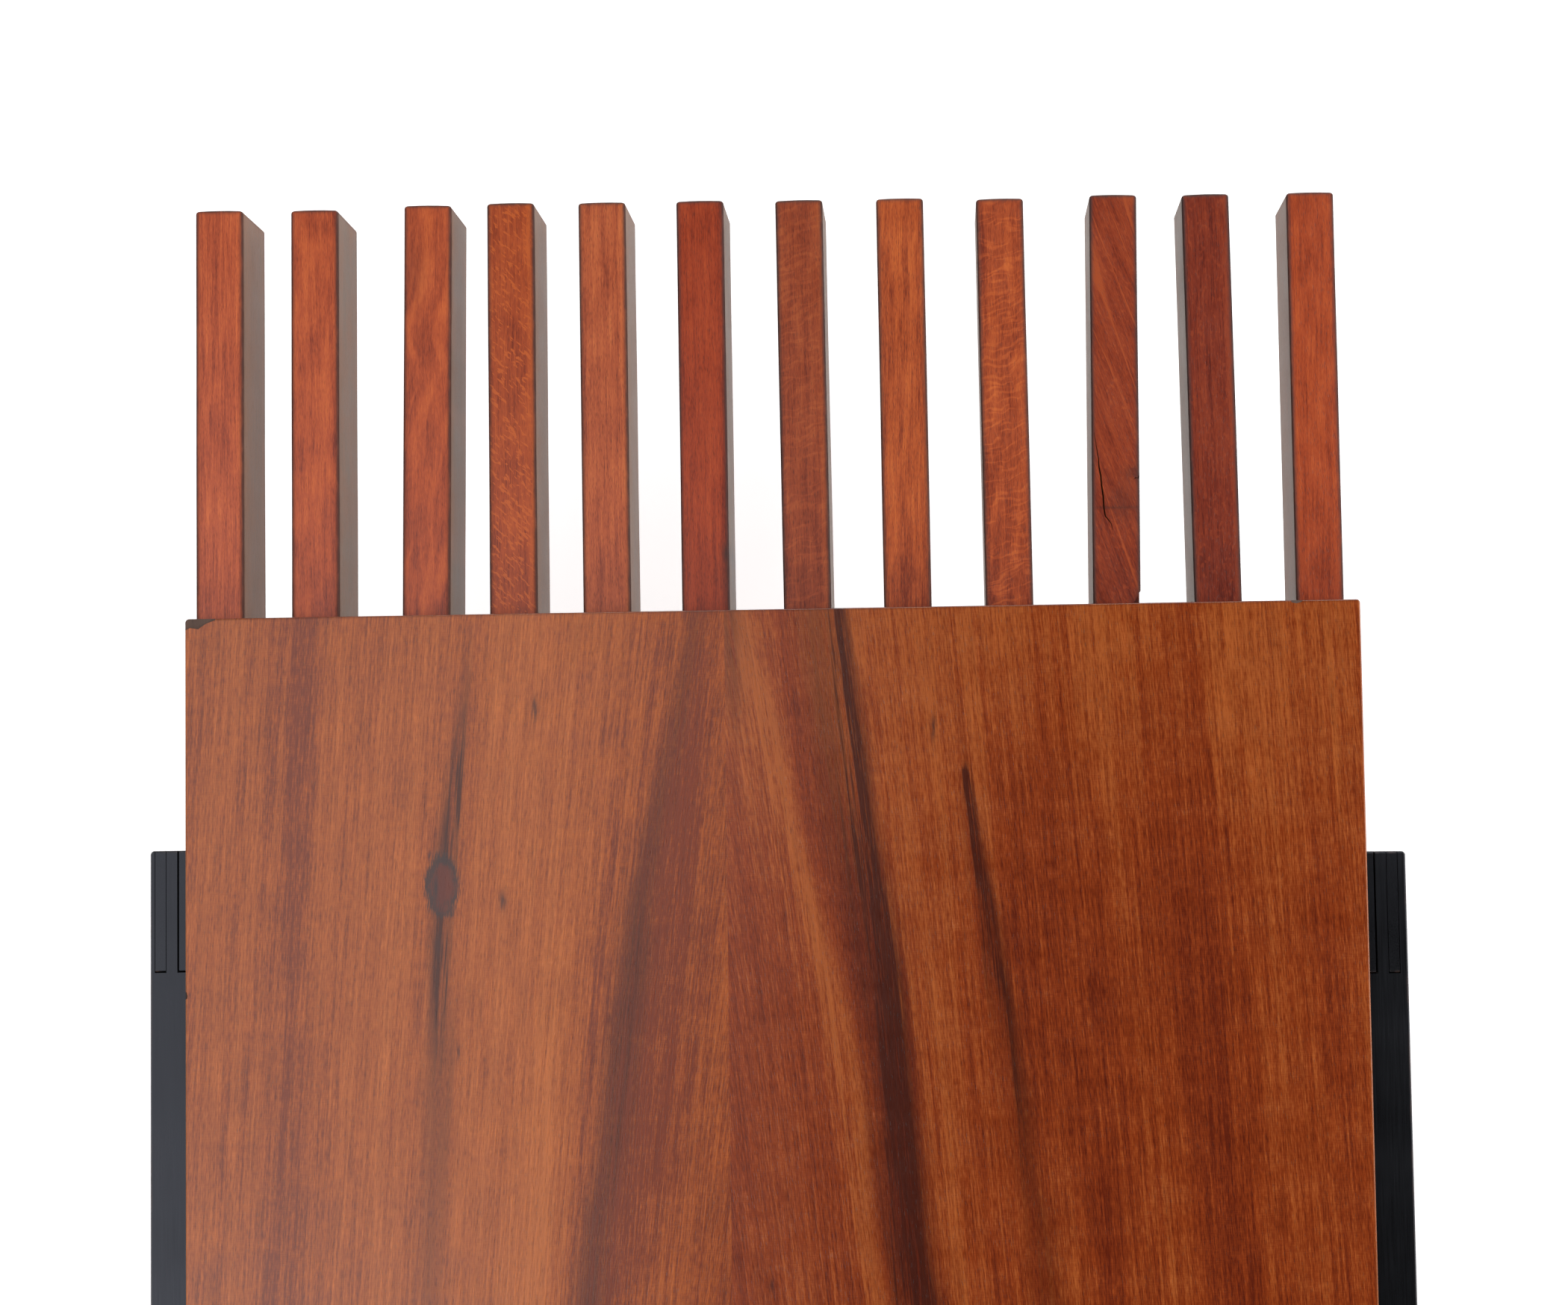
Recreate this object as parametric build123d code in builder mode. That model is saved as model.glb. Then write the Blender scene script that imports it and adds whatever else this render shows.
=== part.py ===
from build123d import *
from math import atan, degrees
import os

# A low slatted coffee table. Twelve square-edged hardwood slats run lengthwise between two
# black side frames, and a thin veneered board lies on the middle of them.
#
# Each side frame is a rail with a leg comb-jointed up into either end. Two cross rails,
# dowelled to the legs, tie the frames together and carry the slats. The slats are screwed
# down to the cross rails where the board hides the heads, and the board is screwed up to
# three of the slats from below.
#
# Millimetres. +X is to the right, +Y runs along the slats to the back end, +Z is up. The
# origin is on the floor, under the middle of the table.

# Whole table
table_length = 1200.0  # length of every slat
table_height = 380.0  # floor to the board's face
clear_width = 600.0  # width of the board

# Timber sections
slat_width = 24.5
slat_depth = 38.0
rail_width = 23.5  # thickness of the rails, cross rails and legs
rail_depth = 62.0  # height of the rails and cross rails, and width of the legs
arris = 0.8  # easing of every long edge

# Slats: set by hand, so a little uneven. Each has its place across the table at mid-length,
# how much further right its back end is than its middle, and how far back it is pushed.
slat_middles = [-286, -237, -183.5, -134.5, -85, -34, 20, 70.5, 124, 173, 233, 282]
slat_skews = [0, 0.5, 6, 0, -2, -2, -4.5, -2.5, -4, 6, -6, -0.5]
slat_shifts = [-0.5, -1, 0.5, 1, 0.5, 0.5, 0, 0, -1, 0, -0.5, -0.5]

# Board: a core with lipped edges, veneered on both faces
bare_slat_end = 215.0  # length of slat left bare beyond the board at each end
board_thickness = 12.0
veneer = 0.6
lipping = 3.0
board_corner = 2.0  # radius of the board's corners seen from above
board_seam = -25.0  # where the two leaves of the face veneer meet

# Side frames
frame_overhang = 22.0  # how far the frames stand out past the board
frame_length = 523.0
frame_stagger = 5.5  # the left frame sits this far back of centre, and the right one forward
comb_inset = {"left": 2.3, "right": 4.1}  # thickness of the rail outside a leg's outer tongue
outer_tongue = 6.0  # thickness of a leg's outer tongue
comb_finger = 5.6  # thickness of the rail between the two tongues
joint_gap = 0.3
open_joint = 0.9  # gap at the inner tongue, where the joint has opened
frame_corner = 2.0

# Screws that hold the slats down: countersunk, slotted
screw_radius = 2.0
screw_hole_radius = 2.25
screw_head_radius = 3.9
head_hole_radius = 4.0
countersink_angle = 90
slot_width = 1.0
slot_depth = 1.0
slat_screw_length = 60.0

# Screws that hold the board: pan heads at the top of a counterbore
board_screw_length = 32.0
board_screw_grip = 8.0  # length of screw in the board
board_screw_y = 140.0  # either side of the middle
board_screw_slats = [1, 6, 10]  # counted from 0 at the left
counterbore_radius = 4.5
pan_head_height = 2.6
pan_face_radius = 3.2

# Dowels between the cross rails and the legs
dowel_radius = 4.0
dowel_length = 40.0
dowel_in_leg = 16.0
dowel_drops = [72.0, 90.0]  # dowel centres below the rail's top
dowel_chamfer = 0.8

# Glides nailed under the legs
glide_radius = 10.0
glide_height = 5.0
glide_edge = 1.0
nail_radius = 1.25
nail_head_radius = 2.5
nail_recess_radius = 2.6
nail_head_height = 1.2
nail_length = 22.0

# Worked out from those
half_width = clear_width / 2
half_length = table_length / 2 - bare_slat_end
board_bottom = table_height - board_thickness
core_bottom = board_bottom + veneer
core_top = table_height - veneer
slat_top = board_bottom
slat_bottom = slat_top - slat_depth
rail_bottom = slat_top - rail_depth
frame_outer = half_width + frame_overhang
frame_x = frame_outer - rail_width / 2
frame_inner = frame_outer - rail_width
leg_y = (frame_length - rail_depth) / 2  # from the middle of a frame to the middle of its legs
dowel_in_rail = dowel_length - dowel_in_leg
counterbore_depth = slat_depth + board_screw_grip - board_screw_length

sides = {"left": -1, "right": 1}
ends = {"front": -1, "back": 1}
slat_screw_rows = [-leg_y, leg_y]
board_screw_rows = [-board_screw_y, board_screw_y]
leg_places = {
    (side, end): (sides[side] * frame_x, ends[end] * leg_y - sides[side] * frame_stagger)
    for side in sides
    for end in ends
}


def on_slats(indexes, rows):
    """The places where these slats' centre lines cross these rows across the table."""
    return [
        (slat_middles[i] + slat_skews[i] * y / (table_length / 2), y)
        for i in indexes
        for y in rows
    ]


all_slats = range(len(slat_middles))
slat_screw_places = on_slats(all_slats, slat_screw_rows)
board_screw_places = on_slats(board_screw_slats, board_screw_rows)


def write(piece, name):
    """Label one finished piece and write it as its own STEP file."""
    piece.part.label = name
    export_step(piece.part, f"parts/{name}.step")


def make_slat(index):
    """A slat with its two countersunk holes, and counterbored ones too if it holds the board."""
    turn = -degrees(atan(slat_skews[index] / (table_length / 2)))
    with BuildPart() as slat:
        with BuildSketch(Plane.XY.offset(slat_bottom)):
            with Locations((slat_middles[index], slat_shifts[index])):
                Rectangle(slat_width, table_length, rotation=turn)
        extrude(amount=slat_depth)
        fillet(slat.edges(), radius=arris)
        with Locations(*[(x, y, slat_top) for x, y in on_slats([index], slat_screw_rows)]):
            CounterSinkHole(screw_hole_radius, head_hole_radius, slat_depth, countersink_angle)
        if index in board_screw_slats:
            places = on_slats([index], board_screw_rows)
            with Locations(*[Location((x, y, slat_bottom), (180, 0, 0)) for x, y in places]):
                CounterBoreHole(screw_hole_radius, counterbore_radius, counterbore_depth, slat_depth)
    return slat


def comb_steps(side):
    """Where a frame's comb joints change from rail to leg, measured in from its outer face."""
    first = comb_inset[side]
    return [0.0, first, first + outer_tongue, first + outer_tongue + comb_finger, rail_width]


def across_frame(side, start, end):
    """The middle, across the table, of a stretch measured in from a frame's outer face."""
    return sides[side] * (frame_outer - (start + end) / 2)


def make_rail(side):
    """A side frame's rail, slotted at each end for the tongues of the legs."""
    middle = -sides[side] * frame_stagger
    slot_length = rail_depth + joint_gap
    slot_rows = [middle + end * (frame_length - slot_length) / 2 for end in ends.values()]
    with BuildPart() as rail:
        with BuildSketch(Plane.XY.offset(rail_bottom)):
            with Locations((sides[side] * frame_x, middle)):
                Rectangle(rail_width, frame_length)
        extrude(amount=rail_depth)
        fillet(rail.edges().filter_by(Axis.Z), radius=frame_corner)
        chamfer(rail.faces().sort_by(Axis.Z)[-1].edges(), length=arris)
        steps = comb_steps(side)
        for start, end in [steps[1:3], steps[3:5]]:
            with BuildSketch(Plane.XY.offset(slat_top)):
                with Locations(*[(across_frame(side, start, end), y) for y in slot_rows]):
                    Rectangle(end - start, slot_length)
            extrude(amount=-rail_depth, mode=Mode.SUBTRACT)
    return rail


def make_leg(side, end):
    """A leg: a flat post with two tongues up through the rail, holed for its dowels and nail."""
    x, y = leg_places[side, end]
    with BuildPart() as leg:
        with BuildSketch(Plane.XY.offset(glide_height)):
            with Locations((x, y)):
                Rectangle(rail_width, rail_depth)
        extrude(amount=slat_top - glide_height)
        fillet(leg.edges().filter_by(Axis.Z), radius=frame_corner)
        leg_faces = leg.faces().sort_by(Axis.Z)
        chamfer(leg_faces[0].edges() + leg_faces[-1].edges(), length=arris)
        steps = comb_steps(side)
        for (start, stop), gap in [(steps[0:2], joint_gap), (steps[2:4], open_joint)]:
            outer = start - joint_gap
            inner = stop + gap
            with BuildSketch(Plane.XY.offset(rail_bottom)):
                with Locations((across_frame(side, outer, inner), y)):
                    Rectangle(inner - outer, rail_depth)
            extrude(amount=rail_depth, mode=Mode.SUBTRACT)
        for drop in dowel_drops:
            hole_mouth = (sides[side] * frame_inner, ends[end] * leg_y, slat_top - drop)
            with BuildSketch(Plane(origin=hole_mouth, z_dir=(sides[side], 0, 0))):
                Circle(dowel_radius)
            extrude(amount=dowel_in_leg, mode=Mode.SUBTRACT)
        with BuildSketch(Plane.XY.offset(glide_height)):
            with Locations((x, y)):
                Circle(nail_radius)
        extrude(amount=nail_length, mode=Mode.SUBTRACT)
    return leg


def make_cross_rail(end):
    """A cross rail on edge under the slats, holed for its dowels and for the slats' screws."""
    y = ends[end] * leg_y
    with BuildPart() as cross_rail:
        with BuildSketch(Plane.XY.offset(slat_bottom - rail_depth)):
            with Locations((0, y)):
                Rectangle(2 * frame_inner, rail_width)
        extrude(amount=rail_depth)
        fillet(cross_rail.edges().filter_by(Axis.X), radius=arris)
        for side in sides.values():
            for drop in dowel_drops:
                hole_mouth = (side * frame_inner, y, slat_top - drop)
                with BuildSketch(Plane(origin=hole_mouth, z_dir=(-side, 0, 0))):
                    Circle(dowel_radius)
                extrude(amount=dowel_in_rail, mode=Mode.SUBTRACT)
        with BuildSketch(Plane.XY.offset(slat_bottom)):
            with Locations(*on_slats(all_slats, [y])):
                Circle(screw_radius)
        extrude(amount=slat_depth - slat_screw_length, mode=Mode.SUBTRACT)
    return cross_rail


def make_board_piece(x_range, y_range, z_range):
    """A rectangular piece of the board, cut to the board's rounded outline."""
    with BuildPart() as piece:
        with BuildSketch(Plane.XY.offset(z_range[0])):
            with Locations((sum(x_range) / 2, sum(y_range) / 2)):
                Rectangle(x_range[1] - x_range[0], y_range[1] - y_range[0])
        extrude(amount=z_range[1] - z_range[0])
        add(board_outline.part, mode=Mode.INTERSECT)
    return piece


def drill(piece, bottom, depth):
    """The same piece of the board with the board screws' holes drilled up into it."""
    with BuildPart() as drilled:
        add(piece.part)
        with BuildSketch(Plane.XY.offset(bottom)):
            with Locations(*board_screw_places):
                Circle(screw_radius)
        extrude(amount=depth, mode=Mode.SUBTRACT)
    return drilled


os.makedirs("parts", exist_ok=True)

# Slats
for number in all_slats:
    write(make_slat(number), f"slat_{number + 1:02d}")

# Side frames and cross rails
for side_name in sides:
    write(make_rail(side_name), f"{side_name}_rail")
    for end_name in ends:
        write(make_leg(side_name, end_name), f"{end_name}_{side_name}_leg")
for end_name in ends:
    write(make_cross_rail(end_name), f"{end_name}_cross_rail")

# Board: the outline that every piece of it is cut to, then the pieces
with BuildPart() as board_outline:
    with BuildSketch(Plane.XY.offset(board_bottom)):
        RectangleRounded(clear_width, 2 * half_length, board_corner)
    extrude(amount=board_thickness)
    fillet(board_outline.faces().sort_by(Axis.Z)[-1].edges(), radius=arris)

core_x = half_width - lipping
core_y = half_length - lipping
core_z = (core_bottom, core_top)
face_z = (core_top, table_height)
whole_width = (-half_width, half_width)
whole_length = (-half_length, half_length)

core = make_board_piece((-core_x, core_x), (-core_y, core_y), core_z)
write(drill(core, core_bottom, board_screw_grip - veneer), "board_core")
write(make_board_piece((-half_width, -core_x), whole_length, core_z), "left_lipping")
write(make_board_piece((core_x, half_width), whole_length, core_z), "right_lipping")
write(make_board_piece((-core_x, core_x), (-half_length, -core_y), core_z), "front_lipping")
write(make_board_piece((-core_x, core_x), (core_y, half_length), core_z), "back_lipping")
write(make_board_piece((-half_width, board_seam), whole_length, face_z), "left_face_veneer")
write(make_board_piece((board_seam, half_width), whole_length, face_z), "right_face_veneer")
backing = make_board_piece(whole_width, whole_length, (board_bottom, core_bottom))
write(drill(backing, board_bottom, veneer), "backing_veneer")

# Slat screws
with BuildPart() as slat_screw:
    with BuildSketch(Plane.XZ):
        with BuildLine():
            Polyline(
                (0, 0),
                (screw_head_radius, 0),
                (screw_radius, screw_radius - screw_head_radius),
                (screw_radius, 2 * screw_radius - slat_screw_length),
                (0, -slat_screw_length),
                close=True,
            )
        make_face()
    revolve(axis=Axis.Z)
    with BuildSketch():
        Rectangle(2 * screw_head_radius, slot_width)
    extrude(amount=-slot_depth, mode=Mode.SUBTRACT)

with BuildPart() as slat_screws:
    with Locations(*[(x, y, slat_top) for x, y in slat_screw_places]):
        add(slat_screw.part)
write(slat_screws, "slat_screws")

# Board screws
with BuildPart() as board_screw:
    with BuildSketch(Plane.XZ):
        with BuildLine():
            Polyline(
                (0, -pan_head_height),
                (pan_face_radius, -pan_head_height),
                (screw_head_radius, -pan_head_height / 2),
                (screw_head_radius, 0),
                (screw_radius, 0),
                (screw_radius, board_screw_length - 2 * screw_radius),
                (0, board_screw_length),
                close=True,
            )
        make_face()
    revolve(axis=Axis.Z)
    with BuildSketch(Plane.XY.offset(-pan_head_height)):
        Rectangle(2 * screw_head_radius, slot_width)
    extrude(amount=slot_depth, mode=Mode.SUBTRACT)

with BuildPart() as board_screws:
    with Locations(*[(x, y, slat_bottom + counterbore_depth) for x, y in board_screw_places]):
        add(board_screw.part)
write(board_screws, "board_screws")

# Dowels
with BuildPart() as cross_rail_dowels:
    for side in sides.values():
        for y in slat_screw_rows:
            for drop in dowel_drops:
                dowel_start = (side * (frame_inner - dowel_in_rail), y, slat_top - drop)
                with BuildSketch(Plane(origin=dowel_start, z_dir=(side, 0, 0))):
                    Circle(dowel_radius)
                extrude(amount=dowel_length)
    chamfer(cross_rail_dowels.edges().filter_by(GeomType.CIRCLE), length=dowel_chamfer)
write(cross_rail_dowels, "cross_rail_dowels")

# Glides, each with a recess for its nail's head
with BuildPart() as foot_glides:
    with BuildSketch():
        with Locations(*leg_places.values()):
            Circle(glide_radius)
    extrude(amount=glide_height)
    fillet(foot_glides.edges().group_by(Axis.Z)[0], radius=glide_edge)
    with Locations(*[Location((x, y, 0), (180, 0, 0)) for x, y in leg_places.values()]):
        CounterBoreHole(nail_radius, nail_recess_radius, 2 * nail_head_height, glide_height)
write(foot_glides, "foot_glides")

# Glide nails
with BuildPart() as glide_nail:
    with BuildSketch(Plane.XZ):
        with BuildLine():
            Polyline(
                (0, nail_head_height),
                (nail_head_radius, nail_head_height),
                (nail_head_radius, 2 * nail_head_height),
                (nail_radius, 2 * nail_head_height),
                (nail_radius, nail_length - 2 * nail_radius),
                (0, nail_length),
                close=True,
            )
        make_face()
    revolve(axis=Axis.Z)

with BuildPart() as glide_nails:
    with Locations(*leg_places.values()):
        add(glide_nail.part)
write(glide_nails, "glide_nails")
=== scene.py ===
import math

import bmesh
import bpy
from mathutils import Matrix, Quaternion, Vector, noise


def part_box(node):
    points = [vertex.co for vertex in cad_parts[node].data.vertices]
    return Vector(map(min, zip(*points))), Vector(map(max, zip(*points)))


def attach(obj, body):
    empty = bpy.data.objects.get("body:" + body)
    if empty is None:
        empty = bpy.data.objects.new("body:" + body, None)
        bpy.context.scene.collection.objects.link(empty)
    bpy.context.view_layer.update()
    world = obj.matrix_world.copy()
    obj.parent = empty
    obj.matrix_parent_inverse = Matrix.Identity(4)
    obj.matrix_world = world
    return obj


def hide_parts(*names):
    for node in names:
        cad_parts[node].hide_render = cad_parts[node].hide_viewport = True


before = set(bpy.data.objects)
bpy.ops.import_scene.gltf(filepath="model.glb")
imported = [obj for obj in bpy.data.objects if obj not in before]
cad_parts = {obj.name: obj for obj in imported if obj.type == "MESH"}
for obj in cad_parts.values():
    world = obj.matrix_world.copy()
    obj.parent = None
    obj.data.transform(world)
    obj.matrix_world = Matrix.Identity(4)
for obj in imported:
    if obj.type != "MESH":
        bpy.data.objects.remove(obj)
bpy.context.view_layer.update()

scene = bpy.context.scene
scene.view_settings.view_transform = "Standard"

MM = 0.001
spare = 1.0  # how far a cutter reaches past the piece that it cuts

# Sizes taken from the frame, in millimetres
board_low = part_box("left_lipping")[0] / MM
board_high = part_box("right_face_veneer")[1] / MM
board_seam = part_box("right_face_veneer")[0].x / MM
board_length = board_high.y - board_low.y
slat_low, slat_high = (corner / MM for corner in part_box("slat_01"))
slat_width = slat_high.x - slat_low.x
slat_depth = slat_high.z - slat_low.z
slat_length = slat_high.y - slat_low.y
slat_names = [f"slat_{number:02d}" for number in range(1, 13)]


# ---------------------------------------------------------------- node graphs
class Num:
    """A number in a material's node graph. Arithmetic on it adds Math nodes."""

    def __init__(self, graph, socket):
        self.graph = graph
        self.socket = socket

    def math(self, operation, *others):
        node = self.graph.add("ShaderNodeMath", operation=operation)
        return Num(self.graph, self.graph.wire(node, [self, *others]).outputs[0])

    def __add__(self, other):
        return self.math("ADD", other)

    def __mul__(self, other):
        return self.math("MULTIPLY", other)

    def __sub__(self, other):
        return self.math("SUBTRACT", other)

    def __rsub__(self, other):
        return self.math("MULTIPLY", -1).math("ADD", other)

    def __truediv__(self, other):
        return self.math("DIVIDE", other)

    __radd__ = __add__
    __rmul__ = __mul__

    def abs(self):
        return self.math("ABSOLUTE")

    def exp(self):
        return self.math("EXPONENT")

    def least(self, other):
        return self.math("MINIMUM", other)

    def most(self, other):
        return self.math("MAXIMUM", other)

    def swing(self, amount):
        """Noise with a mean of a half, turned into a swing of this size about 0."""
        return (self - 0.5) * amount

    def near(self, centre, width):
        """1 at the centre, falling to 0 within about two widths of it."""
        distance = (self - centre) / width
        return (distance * distance * -1).exp()

    def step(self, low, high):
        """0 below low and 1 above high, with a smooth rise between."""
        node = self.graph.add("ShaderNodeMapRange", interpolation_type="SMOOTHSTEP")
        return Num(self.graph, self.graph.wire(node, [self, low, high]).outputs["Result"])


class Graph:
    """A new material. x, y and z are the place on the piece, in millimetres."""

    def __init__(self, name):
        self.material = bpy.data.materials.new(name)
        self.material.use_nodes = True
        self.tree = self.material.node_tree
        self.shader = self.tree.nodes["Principled BSDF"]
        place = self.add("ShaderNodeTexCoord").outputs["Object"]
        self.x, self.y, self.z = (part * (1 / MM) for part in self.split(place))

    def add(self, kind, **settings):
        node = self.tree.nodes.new(kind)
        for name, value in settings.items():
            setattr(node, name, value)
        return node

    def wire(self, node, values):
        """Feed a node's first inputs with numbers, colours, sockets or Nums."""
        for socket, value in zip(node.inputs, values):
            self.feed(socket, value)
        return node

    def feed(self, socket, value):
        if isinstance(value, Num):
            value = value.socket
        if isinstance(value, bpy.types.NodeSocket):
            self.tree.links.new(value, socket)
        else:
            socket.default_value = value

    def split(self, vector):
        node = self.wire(self.add("ShaderNodeSeparateXYZ"), [vector])
        return [Num(self, output) for output in node.outputs]

    def join(self, *parts):
        return self.wire(self.add("ShaderNodeCombineXYZ"), parts).outputs[0]

    def normal(self):
        return self.split(self.add("ShaderNodeNewGeometry").outputs["Normal"])

    def noise(self, x, y, z=0.0, detail=2.0):
        """Soft noise, 0 to 1 about a mean of a half."""
        node = self.add("ShaderNodeTexNoise")
        self.feed(node.inputs["Vector"], self.join(x, y, z))
        node.inputs["Scale"].default_value = 1.0
        node.inputs["Detail"].default_value = detail
        return Num(self, node.outputs[0])

    def dots(self, x, y, z=0.0):
        """Distance to the nearest of many scattered points, one to a unit cell."""
        node = self.add("ShaderNodeTexVoronoi")
        self.feed(node.inputs["Vector"], self.join(x, y, z))
        node.inputs["Scale"].default_value = 1.0
        return Num(self, node.outputs["Distance"])

    def ramp(self, value, stops, interpolation="LINEAR"):
        """A colour read from stops, which are (place, colour) pairs."""
        node = self.add("ShaderNodeValToRGB")
        elements = node.color_ramp.elements
        while len(elements) < len(stops):
            elements.new(1.0)
        for element, (place, colour) in zip(elements, stops):
            element.position = place
            element.color = (*colour, 1.0)
        node.color_ramp.interpolation = interpolation
        return self.wire(node, [value]).outputs["Color"]

    def mix(self, factor, first, second):
        """A colour between two, which are colour sockets or RGB triples."""
        node = self.add("ShaderNodeMix", data_type="RGBA")
        colour_inputs, colour_output = node.inputs[6:8], node.outputs[2]
        self.feed(node.inputs["Factor"], factor)
        for socket, colour in zip(colour_inputs, (first, second)):
            self.feed(socket, (*colour, 1.0) if isinstance(colour, tuple) else colour)
        return colour_output

    def scaled(self, colour, factor):
        node = self.add("ShaderNodeVectorMath", operation="SCALE")
        self.feed(node.inputs[0], colour)
        self.feed(node.inputs["Scale"], factor)
        return node.outputs[0]

    def finish(self, colour, roughness, height, **constants):
        """Join up the shader. height is the surface's relief in millimetres."""
        self.feed(self.shader.inputs["Base Color"], colour)
        self.feed(self.shader.inputs["Roughness"], roughness)
        bump = self.add("ShaderNodeBump")
        bump.inputs["Distance"].default_value = MM
        self.feed(bump.inputs["Height"], height)
        self.feed(self.shader.inputs["Normal"], bump.outputs["Normal"])
        for name, value in constants.items():
            self.shader.inputs[name.replace("_", " ").title()].default_value = value
        return self.material


def tint(tone, *factors):
    """A colour times one factor, or times one for each of its parts."""
    return tuple(part * factor for part, factor in zip(tone, factors * 3))


def edge_wear(g, low, high, width):
    """1 along the edges of a box with these corners, in millimetres, and 0 on its faces."""
    gaps = [
        (place - bottom).abs().least((place - top).abs())
        for place, bottom, top in zip((g.x, g.y, g.z), low, high)
    ]
    x, y, z = (gap.near(0.0, width) for gap in gaps)
    return (x * y).most(y * z).most(x * z)


# ---------------------------------------------------------------- board veneer
streak_brown = (0.042, 0.005, 0.001)
knot_blue = (0.035, 0.018, 0.018)
knot_brown = (0.105, 0.018, 0.010)
mark_brown = (0.050, 0.012, 0.008)
edge_orange = (0.520, 0.170, 0.040)

track_reach = 400.0  # a streak's distance from the seam is stored as a part of this
track_width = 40.0  # and its half width as a part of this


def track(g, along, rows):
    """A streak that runs down the board: where its middle is, its half width and its strength.

    Each row is a distance down from the board's back edge, then those three values there."""
    stops = [
        (down / board_length, (middle / track_reach, half_width / track_width, strength))
        for down, middle, half_width, strength in rows
    ]
    middle, half_width, strength = g.split(g.ramp(along / board_length, stops, "CARDINAL"))
    return middle * track_reach, half_width * track_width, strength


def leaf_material(name, side, seed, tones, pale_end, dark_tracks, light_tracks, red_tracks,
                  knots=(), marks=()):
    """One leaf of the board's book-matched veneer. side is -1 left of the seam and 1 right.

    tones are its dark, middle and light colours, and pale_end lightens the board's back end. A
    knot or mark is its distance from the seam and from the back edge, half width and half length.
    Each figure's noise is divided by its size across and along the grain, in millimetres."""
    g = Graph(name)
    down = board_high.y - g.y
    out = (g.x - board_seam) * side
    lean = (out / -110.0).exp() * 0.11 + 0.05  # the grain's slope, steepest at the seam
    grain = out - lean * down

    broad = g.noise(grain / 34.0, down / 420.0, seed)
    bands = g.noise(grain / 9.0, down / 300.0, seed + 3.0, 3.0)
    strands = g.noise(grain / 3.0, down / 150.0, seed + 4.0, 3.0)
    lines = g.noise(grain / 1.1, down / 36.0, seed + 5.0, 3.0)
    fine = g.noise(grain / 0.45, down / 5.0, seed + 7.0)
    hatch = g.noise(grain / 5.0, down / 0.55, seed + 9.0, 1.0)
    mottle = g.noise(grain / 26.0, down / 14.0, seed + 11.0, 3.0)
    pores = 1.0 - g.dots(grain / 1.0, down / 6.0, seed).step(0.08, 0.30)
    checks = 1.0 - g.dots(grain / 3.6, down / 1.1, seed + 1.0).step(0.08, 0.26)

    wander = g.noise(out / 60.0, down / 230.0, seed + 13.0).swing(8.0)
    wander = wander + strands.swing(12.0) + lines.swing(8.0)

    def total(tracks):
        """The strengths of these streaks here, added up."""
        value = None
        for rows in tracks:
            middle, half_width, strength = track(g, down, rows)
            here = (out + wander).near(middle, half_width) * strength
            value = here if value is None else value + here
        return value

    shade = 0.5 + broad.swing(0.6) + bands.swing(0.6) + strands.swing(0.7)
    shade = shade + lines.swing(0.8) + fine.swing(1.0)
    shade = shade + hatch.swing(0.6) * mottle + mottle.swing(0.35)
    shade = shade + total(light_tracks) * 0.40 - total(red_tracks) * 0.30
    shade = shade + (1.0 - down.step(0.0, 190.0)) * pale_end
    colour = g.ramp(shade, list(zip((0.10, 0.50, 0.95), tones)))
    threads = lines.swing(3.2) + strands.swing(2.4) + 0.95
    streaks = total(dark_tracks) * threads.most(0.15).least(1.4)
    colour = g.mix(streaks.most(0.0).least(0.95), colour, streak_brown)
    colour = g.scaled(colour, 1.0 - pores * (fine * 0.8 - 0.05) - checks * (mottle - 0.25) * 0.3)
    colour = g.scaled(colour, 1.0 + lines.swing(0.7) + fine.swing(0.4))

    for middle, along, half_width, half_length in knots:
        across = (out - middle + bands.swing(4.0)) / half_width
        lengthwise = (down - along + fine.swing(3.0)) / half_length
        radius = (across * across + lengthwise * lengthwise).math("SQRT")
        radius = radius + mottle.swing(1.2) + fine.swing(0.9)
        colour = g.mix((1.0 - radius.step(0.7, 1.2)) * 0.9, colour, knot_brown)
        rim = radius.near(1.0, 0.20) * (mottle.swing(3.0) + 1.0)
        slit = across.near(0.45, 0.2) * lengthwise.near(0.1, 0.6)
        colour = g.mix(rim.most(slit * 0.9).least(0.9), colour, knot_blue)

    for middle, along, half_width, half_length in marks:
        across = (out + fine.swing(4.0)).near(middle, half_width)
        lengthwise = (down + lines.swing(12.0)).near(along, half_length)
        colour = g.mix(across * lengthwise * (fine * 0.9 + 0.4), colour, mark_brown)

    patchy = g.noise(g.x / 6.0, g.y / 6.0, seed) * 0.7 + 0.3
    end_line = (g.y.abs() - board_high.y).near(0.0, 1.0)
    side_line = (g.x.abs() - board_high.x).near(0.0, 0.8)
    colour = g.mix(end_line * patchy * 0.8, colour, streak_brown)
    colour = g.mix(side_line * patchy * 0.7, colour, edge_orange)
    roughness = 0.24 + mottle.swing(0.10) + fine.swing(0.10) + pores * 0.04
    height = fine.swing(0.030) + lines.swing(0.030) - pores * 0.012 + hatch.swing(0.006)
    return g.finish(colour, roughness, height)


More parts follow.
